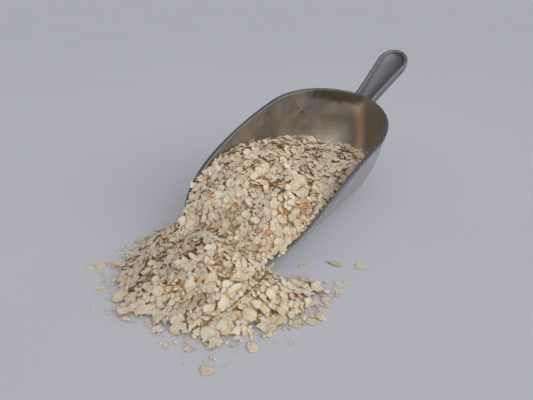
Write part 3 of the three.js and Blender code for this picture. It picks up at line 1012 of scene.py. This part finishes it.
def flake_mesh(number):
    """One flake of radius 1 and thickness 1, which the scattering stretches to its size in metres."""
    around, radii = ragged_outline(number)
    edge = np.stack([np.cos(around), np.sin(around)], -1) * radii[:, None]
    shoulder = edge * BODY["flat_to"]
    cup, twist, fold = CHANCE.normal(0, BODY["bend"])

    def bent(points):
        x, y = points.T
        return cup * (x * x + y * y) + twist * x * y + fold * np.maximum(x, 0)

    thick = CHANCE.uniform(*BODY["shoulder"], EDGE_POINTS)
    above = np.column_stack([shoulder, bent(shoulder) + thick])
    rim = np.column_stack([edge, bent(edge) + CHANCE.normal(*BODY["edge"], EDGE_POINTS)])
    top_point = (0, 0, CHANCE.uniform(*BODY["middle"]))
    points = np.concatenate([[top_point], above, rim, [(0, 0, BODY["bottom"])]])
    faces = []
    for k in range(EDGE_POINTS):
        a, b = 1 + k, 1 + (k + 1) % EDGE_POINTS
        faces.append((0, a, b))
        faces.append((a, a + EDGE_POINTS, b + EDGE_POINTS, b))
        faces.append((a + EDGE_POINTS, len(points) - 1, b + EDGE_POINTS))
    mesh = bpy.data.meshes.new(f"flake_shape_{number:02d}")
    mesh.from_pydata(points.tolist(), [], faces)
    shoulder_marks = np.full(EDGE_POINTS, BODY["shoulder_mark"])
    write_mark(mesh, "to_edge", np.concatenate([[0], shoulder_marks, np.ones(EDGE_POINTS), [0]]))
    return mesh


shapes = bpy.data.collections.new("flake_shapes")
for number in range(FLAKE["kinds"]):
    shapes.objects.link(bpy.data.objects.new(f"flake_shape_{number:02d}", flake_mesh(number)))

# %% [markdown]
# ## Scattering with Geometry Nodes
# Thousands of discs at known places are what Geometry Nodes are for: a cloud of points carries each
# flake's turn, size, kind and tone, and Instance on Points puts a shape on every one. Instances aren't
# exported, so they are realized, and the result is turned into one plain mesh. The crumbs further down
# need the same beginning and end, so these are two helpers.

# %% The beginning and the end of a scattering tree
def new_tree(name, inputs, output):
    """A tree with its named inputs, each with a kind of socket and a first value, and one output."""
    tree = bpy.data.node_groups.new(name, "GeometryNodeTree")
    for label, (kind, value) in inputs.items():
        socket = tree.interface.new_socket(label, in_out="INPUT", socket_type="NodeSocket" + kind)
        if value is not None:
            socket.default_value = value
    tree.interface.new_socket(output, in_out="OUTPUT", socket_type="NodeSocketGeometry")
    return tree, tree.nodes.new("NodeGroupInput").outputs


def named_attribute(tree, name, kind):
    node = add_node(tree, "GeometryNodeInputNamedAttribute", {"Name": name}, data_type=kind)
    return node.outputs["Attribute"]


def put_shapes_on(points, tree, given, how):
    """A shape on every point, all of them made real and given their material."""
    choice = add_node(tree, "GeometryNodeCollectionInfo", {
        "Collection": given["Shapes"], "Separate Children": True, "Reset Children": True,
    })
    placed = add_node(tree, "GeometryNodeInstanceOnPoints", {
        "Points": points, "Instance": choice.outputs["Instances"], "Pick Instance": True, **how,
    })
    real = add_node(tree, "GeometryNodeRealizeInstances", {"Geometry": placed.outputs["Instances"]})
    painted = add_node(tree, "GeometryNodeSetMaterial", {
        "Geometry": real.outputs["Geometry"], "Material": given["Material"],
    })
    result = tree.nodes.new("NodeGroupOutput")
    tree.links.new(painted.outputs["Geometry"], result.inputs[0])
    return tree


print("two helpers for trees are ready")

# %% [markdown]
# In the tree for the flakes every point brings its own turn, size and kind. One input more, `Flake
# Size`, makes all flakes larger or smaller at once.

# %% The tree that puts a flake on every point
def scatter_tree():
    tree, given = new_tree("flakes_on_points", {
        "Points": ("Geometry", None), "Shapes": ("Collection", None), "Flake Size": ("Float", 1),
        "Material": ("Material", None),
    }, "Flakes")
    scale = add_node(tree, "ShaderNodeVectorMath", {
        0: named_attribute(tree, "size", "FLOAT_VECTOR"), "Scale": given["Flake Size"],
    }, operation="SCALE")
    return put_shapes_on(given["Points"], tree, given, {
        "Instance Index": named_attribute(tree, "kind", "INT"),
        "Rotation": named_attribute(tree, "turn", "QUATERNION"),
        "Scale": scale.outputs["Vector"],
    })


def set_inputs(modifier, **values):
    """The modifier's inputs are set by the identifiers of their sockets."""
    for item in modifier.node_group.interface.items_tree:
        if item.item_type == "SOCKET" and item.in_out == "INPUT" and item.name in values:
            modifier[item.identifier] = values[item.name]


SCATTER = scatter_tree()
print("the tree has", len(SCATTER.nodes), "nodes")

# %% [markdown]
# The recipe for the flakes: cream, with honey-coloured blotches and edges where the coat of the seed is
# left, and each flake a little different. A fine noise stands for the flour on them. Light goes a
# little way into the starch, and in the real pile it goes from flake to flake, so the gaps glow brown
# instead of going grey: the deeper a flake lies, the browner it is.

# %% The finish of the flakes
QUINOA = {
    "pale": (colour(0.73, 0.61, 0.43), colour(0.74, 0.68, 0.57)),
    "honey": (colour(0.65, 0.37, 0.11), colour(0.73, 0.48, 0.20)),
    "flour": colour(0.76, 0.71, 0.62),
    "deep": colour(0.82, 0.38, 0.09),
}


def quinoa_finish():
    material, tree, shader = new_material("quinoa_flakes")
    tone, to_edge, depth = (attribute(tree, name) for name in ("tone", "to_edge", "depth"))
    flour, blotch = noise(tree, 1000, 3, roughness=0.7), noise(tree, 480, 4, roughness=0.65)
    pale, honey = blend(tree, tone, *QUINOA["pale"]), blend(tree, tone, *QUINOA["honey"])
    coat_at_edge = calculate(tree, "MULTIPLY", to_edge, 0.7)
    coat = calculate(tree, "ADD", coat_at_edge, spread(tree, blotch, 0.3, 0.7, -0.45, 0.65))
    base = blend(tree, spread(tree, coat, 0.1, 0.8, 0, 0.9), pale, honey)
    base = blend(tree, spread(tree, flour, 0.4, 0.62, 0, 0.5), base, QUINOA["flour"])
    base = blend(tree, spread(tree, depth, 0.1, 0.8, 0, 0.85), base, QUINOA["deep"])
    tree.links.new(base, shader.inputs["Base Color"])
    tree.links.new(spread(tree, flour, 0.3, 0.7, 0.55, 0.8), shader.inputs["Roughness"])
    shader.inputs["Specular IOR Level"].default_value = 0.25
    shader.inputs["Subsurface Weight"].default_value = 0.25
    shader.inputs["Subsurface Radius"].default_value = (1.0, 0.85, 0.7)
    shader.inputs["Subsurface Scale"].default_value = 0.0007
    rough = add_node(tree, "ShaderNodeBump", {"Height": flour, "Strength": 0.6, "Distance": 0.0005})
    tree.links.new(rough.outputs["Normal"], shader.inputs["Normal"])
    return material


flake_material = quinoa_finish()
print("the flakes' finish has", len(flake_material.node_tree.nodes), "nodes")

# %% [markdown]
# The lists of laid flakes become points with their four marks, and the tree makes one mesh of each
# list. The heap and the contents are two pieces, so that neither grows too large for its STL file.

# %% Points into flakes
def quaternions(frames):
    """The turn that brings X, Y and Z onto the three axes of each flake."""
    return np.array([Matrix(np.asarray(f).T.tolist()).to_quaternion()[:] for f in frames])


def flakes_from(name, laid):
    centres, axes, sizes = zip(*laid)
    mesh = bpy.data.meshes.new(name)
    mesh.from_pydata(to_frame(centres).tolist(), [], [])
    turn = mesh.attributes.new("turn", "QUATERNION", "POINT")
    turn.data.foreach_set("value", quaternions(axes).astype(np.float32).ravel())
    size = mesh.attributes.new("size", "FLOAT_VECTOR", "POINT")
    size.data.foreach_set("vector", (np.array(sizes) * MM).astype(np.float32).ravel())
    kind = mesh.attributes.new("kind", "INT", "POINT")
    kind.data.foreach_set("value", CHANCE.integers(0, FLAKE["kinds"], len(laid)).astype(np.int32))
    write_mark(mesh, "tone", CHANCE.random(len(laid)))
    piece = new_object(name, mesh)
    scatter = piece.modifiers.new("Scatter", "NODES")
    scatter.node_group = SCATTER
    set_inputs(scatter, Shapes=shapes, Material=flake_material)
    as_plain_mesh(piece)
    piece.data.name = name
    return piece


heap_piece = flakes_from("flakes_in_heap", heap_flakes)
scoop_piece = flakes_from("flakes_in_scoop", scoop_flakes)
print("faces:", len(heap_piece.data.polygons), "in the heap,", len(scoop_piece.data.polygons), "in the scoop")

# %% [markdown]
# The mark for the finish that says how deep a corner lies compares its height with the map's, which
# is blurred first, so that it stands for the pile's general surface.

# %% How deep each corner of a flake lies
DEEP = 3.4
BLUR_CELLS = 5


def blurred(heights, cells):
    for axis in (0, 1):
        heights = sum(np.roll(heights, step, axis) for step in range(-cells, cells + 1)) / (2 * cells + 1)
    return heights


def mark_depth(piece, heights):
    """How far each corner lies below the pile's general surface: 0 at the surface, 1 at DEEP below."""
    x, y, z = vertices_of(piece.data).T
    i = np.clip(((x - MAP_LOW[0]) / CELL).astype(int), 0, map_x.shape[0] - 1)
    j = np.clip(((y - MAP_LOW[1]) / CELL).astype(int), 0, map_x.shape[1] - 1)
    write_mark(piece.data, "depth", np.clip((blurred(heights, BLUR_CELLS)[i, j] - z) / DEEP, 0, 1))


mark_depth(heap_piece, table_heights)
mark_depth(scoop_piece, scoop_heights)
for piece in (heap_piece, scoop_piece):
    finish_piece(piece, flake_material, "quinoa_flakes")
    print(piece.name, "measures", [round(v / MM) for v in piece.dimensions], "mm")

# %% [markdown]
# ## The core
# Under the laid flakes lies a solid core, so that no gap looks through to bare metal or table. It is
# cut from two blocks, each with the height map as its top: one is kept to the hollow of the scoop, the
# other is kept out of it. The surface that parts them runs inside the thickness of the metal.

# %% A block with a height map as its top
CORE = {"under": 0.4, "rough": 0.25, "bottom": -6.0, "no_top": -1}
CORE_STEP = 4
COARSE = (slice(None, None, CORE_STEP), slice(None, None, CORE_STEP))


def squares_over(number):
    """The squares of a grid of numbered points."""
    return np.stack([number[:-1, :-1], number[1:, :-1], number[1:, 1:], number[:-1, 1:]], -1).reshape(-1, 4)


def block_under(heights):
    """A closed block from below the table up to a little under the heights."""
    x, y, top = map_x[COARSE], map_y[COARSE], heights[COARSE] - CORE["under"]
    rough = CHANCE.normal(0, CORE["rough"], top.shape)
    top = np.where(top > 0, top + rough, CORE["no_top"])
    upper = np.stack([x, y, top], -1)
    lower = np.stack([x, y, np.full(x.shape, CORE["bottom"])], -1)
    points = np.concatenate([upper.reshape(-1, 3), lower.reshape(-1, 3)])
    number = np.arange(x.size).reshape(x.shape)
    squares = squares_over(number)
    border = np.concatenate([number[:, 0], number[-1, 1:], number[-2::-1, -1], number[0, -2:0:-1]])
    after = np.roll(border, -1)
    sides = np.stack([border, border + x.size, after + x.size, after], -1)
    faces = np.concatenate([squares, squares[:, ::-1] + x.size, sides])
    mesh = bpy.data.meshes.new("block")
    mesh.from_pydata(to_frame(points).tolist(), [], faces.tolist())
    return new_object("block", mesh)


core = block_under(core_heights)
core_on_table = block_under(core_on_table_heights)
print("each block has", len(core.data.polygons), "faces")

# %% [markdown]
# The body that parts the two blocks is the hollow of the scoop, carried straight up above the rim. A
# thin slab of air just above the table cuts off what lies below it.

# %% One core from the two blocks
SKY = 110.0
TABLE_AIR = {"x": (-90, 90), "y": (-90, 190), "z": (0.02, SKY)}


def inside_of_scoop():
    """The hollow out to the middle of the metal, carried straight up above the rim."""
    half_wall = BOWL["wall"] / 2
    wall = line_down(half_wall, 0)
    middle_y = stations(half_wall, 0)[2]
    high = np.full(len(wall), SKY)
    sky_edge = np.stack([wall[:, 0, 0], wall[:, 0, 1], high], -1)
    sky_middle = np.stack([np.zeros(len(wall)), middle_y, high], -1)
    grid = np.concatenate([sky_middle[:, None], sky_edge[:, None], wall], 1)
    return new_object("inside", mesh_of_grid("inside", lay_down(grid), closed=False))


def air_over_table():
    corners = [(x, y, z) for x in TABLE_AIR["x"] for y in TABLE_AIR["y"] for z in TABLE_AIR["z"]]
    mesh = bpy.data.meshes.new("air")
    bm = bmesh.new()
    bmesh.ops.convex_hull(bm, input=[bm.verts.new(p) for p in to_frame(corners)])
    bm.to_mesh(mesh)
    bm.free()
    return new_object("air", mesh)


core = join_solids(core, inside_of_scoop(), "INTERSECT")
core_on_table = join_solids(core_on_table, inside_of_scoop(), "DIFFERENCE")
core = join_solids(core, core_on_table)
core = join_solids(core, air_over_table(), "INTERSECT")
core.name = core.data.name = "flake_core"
print("the core has", len(core.data.polygons), "faces and", open_edges(core.data), "open edges")

# %% [markdown]
# ## Strays
# A few flakes have rolled or been flicked away from the heap. Most lie close to its foot, fewer and
# fewer further out, so their distance is drawn from a falling chance. The outermost ones have their
# places in the list, because the eye notices where a lone flake lies.

# %% Stray flakes
LONE_FLAKES = (
    (-61, -29), (-61, -20), (-61, -43), (-57, -38), (-60, 8), (-60, -3), (-40, -50), (-22, -60), (-19, -58),
    (13, -62), (40, -59), (37, 25), (49, 37), (52, 38), (63, 43), (61, 18), (54, 20), (63, 26), (64, 13),
    (63, 3), (64, -5), (62, -10), (57, -15), (59, 22), (62, -2), (48, -20), (57, 9), (60, 7),
)
STRAY_SIZE = np.array([0.85, 0.85, 0.8])
STRAYS = {"count": 60, "falls_off": 2.0, "under_foot": 2, "low": (-62, -63), "high": (65, 60)}
BESIDE_WALL = 16


def chance_of_litter(x, y, heights, metal, how):
    """How likely a stray is at each place: it falls off outside the heap's foot, and inside as well."""
    beyond = -heights / HEAPS[0]["peak"] * HEAPS[0]["reach"][0]
    (left, front), (right, back) = how["low"], how["high"]
    free = (beyond > -how["under_foot"]) & (metal < 0) & ((x < 0) | (y < BESIDE_WALL))
    free &= (x > left) & (x < right) & (y > front) & (y < back)
    return np.where(free, np.exp(-np.abs(beyond) / how["falls_off"]), 0)


def near_foot(count):
    """Places round the heap's foot, thinning out with the distance from it."""
    chance = chance_of_litter(map_x, map_y, heap_map, metal_top, STRAYS)
    picked = CHANCE.choice(chance.size, count, p=(chance / chance.sum()).ravel())
    return np.stack([map_x.ravel()[picked], map_y.ravel()[picked]], -1)


def scatter_strays():
    laid = []
    for spot in [*LONE_FLAKES, *near_foot(STRAYS["count"])]:
        size = flake_size(SCRAP_SHARE["strays"]) * STRAY_SIZE
        found = lay_flake(table_heights, spot, np.zeros(2), size, LIE["stray_tilt"])
        if found:
            laid.append((*found, size))
    return laid


stray_flakes = scatter_strays()
stray_piece = flakes_from("stray_flakes", stray_flakes)
print(len(stray_flakes), "strays")

# %% [markdown]
# Flakes break, and their crumbs lie on the table all round the foot of the heap. Nobody placed them,
# so the tree itself scatters them over a patch of table, more closely where the patch is marked.

# %% The tree that scatters crumbs
CRUMB = {"density": 110000, "smallest": 0.3, "largest": 0.9, "thick": 0.35, "tip": 0.25, "seed": 3}


def crumb_tree():
    tree, given = new_tree("crumbs_on_table", {
        "Patch": ("Geometry", None), "Shapes": ("Collection", None), "Density": ("Float", CRUMB["density"]),
        "Smallest": ("Float", CRUMB["smallest"]), "Largest": ("Float", CRUMB["largest"]),
        "Seed": ("Int", CRUMB["seed"]), "Material": ("Material", None),
    }, "Crumbs")
    density = calculate(tree, "MULTIPLY", named_attribute(tree, "litter", "FLOAT"), given["Density"])
    spots = add_node(tree, "GeometryNodeDistributePointsOnFaces", {
        "Mesh": given["Patch"], "Density": density, "Seed": given["Seed"],
    })
    size = add_node(tree, "FunctionNodeRandomValue", {
        2: given["Smallest"], 3: given["Largest"], "Seed": given["Seed"],
    }, data_type="FLOAT")
    wide = calculate(tree, "MULTIPLY", size.outputs[1], MM)
    scale = add_node(tree, "ShaderNodeCombineXYZ", {"X": wide, "Y": wide, "Z": CRUMB["thick"] * MM})
    turn = add_node(tree, "FunctionNodeRandomValue", {
        0: (-CRUMB["tip"], -CRUMB["tip"], 0), 1: (CRUMB["tip"], CRUMB["tip"], 2 * math.pi),
        "Seed": given["Seed"],
    }, data_type="FLOAT_VECTOR")
    return put_shapes_on(spots.outputs["Points"], tree, given, {
        "Rotation": turn.outputs[0], "Scale": scale.outputs["Vector"],
    })


CRUMBLE = crumb_tree()
print("the tree has", len(CRUMBLE.nodes), "nodes")

# %% [markdown]
# The patch is a grid over the table round the heap, a crumb's thickness above it. Its mark falls off
# like the chance of a stray, but more slowly, because crumbs fly further.

# %% Crumbs on the table
LITTER = {"falls_off": 4.5, "under_foot": 3, "low": (-62.5, -64), "high": (65.5, 55)}


def litter_patch():
    """The table round the heap, marked by how much lies there."""
    x, y = map_x[COARSE], map_y[COARSE]
    mark = chance_of_litter(x, y, heap_map[COARSE], metal_top[COARSE], LITTER)
    points = np.stack([x, y, np.full(x.shape, CRUMB["thick"])], -1).reshape(-1, 3)
    mesh = bpy.data.meshes.new("crumbs")
    squares = squares_over(np.arange(x.size).reshape(x.shape))
    mesh.from_pydata(to_frame(points).tolist(), [], squares.tolist())
    write_mark(mesh, "litter", mark.ravel())
    return new_object("crumbs", mesh)


crumb_piece = litter_patch()
scatter = crumb_piece.modifiers.new("Crumbs", "NODES")
scatter.node_group = CRUMBLE
set_inputs(scatter, Shapes=shapes, Material=flake_material)
as_plain_mesh(crumb_piece)

# %% [markdown]
# What touches the table lies on it: no corner of a flake may dip below. Then every piece gets its
# finish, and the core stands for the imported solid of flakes.

# %% Flakes on the table, and all finishes
TABLE_SKIN = 0.02 * MM


def rest_on_table(piece):
    """Every flake that dips into the table is raised as a whole."""
    flat = np.empty(len(piece.data.vertices) * 3, np.float32)
    piece.data.vertices.foreach_get("co", flat)
    flakes = flat.reshape(-1, 2 * EDGE_POINTS + 2, 3)
    low = flakes[:, :, 2].min(1)
    flakes[:, :, 2] += np.maximum(TABLE_SKIN - low, 0)[:, None]
    piece.data.vertices.foreach_set("co", flakes.ravel())
    piece.data.update()
    return low.min() / MM


for piece in (heap_piece, scoop_piece, stray_piece, crumb_piece):
    print(piece.name, "reached down to", round(float(rest_on_table(piece)), 2), "mm")
for piece in (stray_piece, crumb_piece):
    finish_piece(piece, flake_material, "quinoa_flakes")
finish_piece(core, flake_material, "quinoa_flakes", "flakes")

# %% [markdown]
# ## The table and the light
# The scoop lies on a plain pale table with a trace of blue. It is so wide that its edge is never in
# the picture.

# %% Table
HALF_TABLE = 12.0
TABLE_PAINT = (colour(0.585, 0.585, 0.625), colour(0.615, 0.615, 0.655))


def make_table():
    corners = [(x * HALF_TABLE, y * HALF_TABLE, 0) for x, y in ((-1, -1), (1, -1), (1, 1), (-1, 1))]
    mesh = bpy.data.meshes.new("table")
    mesh.from_pydata(corners, [], [(0, 1, 2, 3)])
    table = new_object("table", mesh)
    material, tree, shader = new_material("pale_table")
    tree.links.new(blend(tree, noise(tree, 6), *TABLE_PAINT), shader.inputs["Base Color"])
    shader.inputs["Roughness"].default_value = 0.6
    shader.inputs["Specular IOR Level"].default_value = 0.2
    mesh.materials.append(material)


make_table()
print("table ready")

# %% [markdown]
# The light is that of a pale room with one wide window on the right, whose glow falls off to its
# sides. So the right wall of the scoop and the floor beside it are bright, and a faint shadow falls
# to the left. A glow of the world gives such light with less noise than lamps would. One weak round
# lamp over the scoop adds a soft shine to the metal.

# %% Light
ROOM = {
    "walls": (0.40, 0.41, 0.43), "window": (2.52, 2.53, 2.55), "towards": (0.982, -0.187, 0),
    "fades_at": 0.3,
}
LAMP = {
    "energy": 0.2, "size": 0.5, "place": (-0.05, 0.08, 0.55), "aim": (0, 0, 0.02),
    "tint": (1.0, 0.98, 0.95),
}


def make_lamp():
    data = bpy.data.lights.new("lamp", "AREA")
    data.shape = "DISK"
    data.energy = LAMP["energy"]
    data.size = LAMP["size"]
    data.color = LAMP["tint"]
    light = bpy.data.objects.new("lamp", data)
    light.location = LAMP["place"]
    away = Vector(LAMP["aim"]) - light.location
    light.rotation_euler = away.to_track_quat("-Z", "Y").to_euler()
    bpy.context.scene.collection.objects.link(light)


def make_room():
    """Pale walls all round, and one wide window whose light falls off to its sides."""
    world = bpy.data.worlds.new("soft_room")
    world.use_nodes = True
    tree = world.node_tree
    direction = add_node(tree, "ShaderNodeTexCoord").outputs["Generated"]
    inputs = {0: direction, 1: ROOM["towards"]}
    facing = add_node(tree, "ShaderNodeVectorMath", inputs, operation="DOT_PRODUCT").outputs["Value"]
    glow = spread(tree, facing, ROOM["fades_at"], 1)
    tint = blend(tree, glow, colour(*ROOM["walls"]), colour(*ROOM["window"]))
    tree.links.new(tint, tree.nodes["Background"].inputs["Color"])
    bpy.context.scene.world = world


make_room()
make_lamp()
bpy.context.scene.view_settings.view_transform = "Standard"
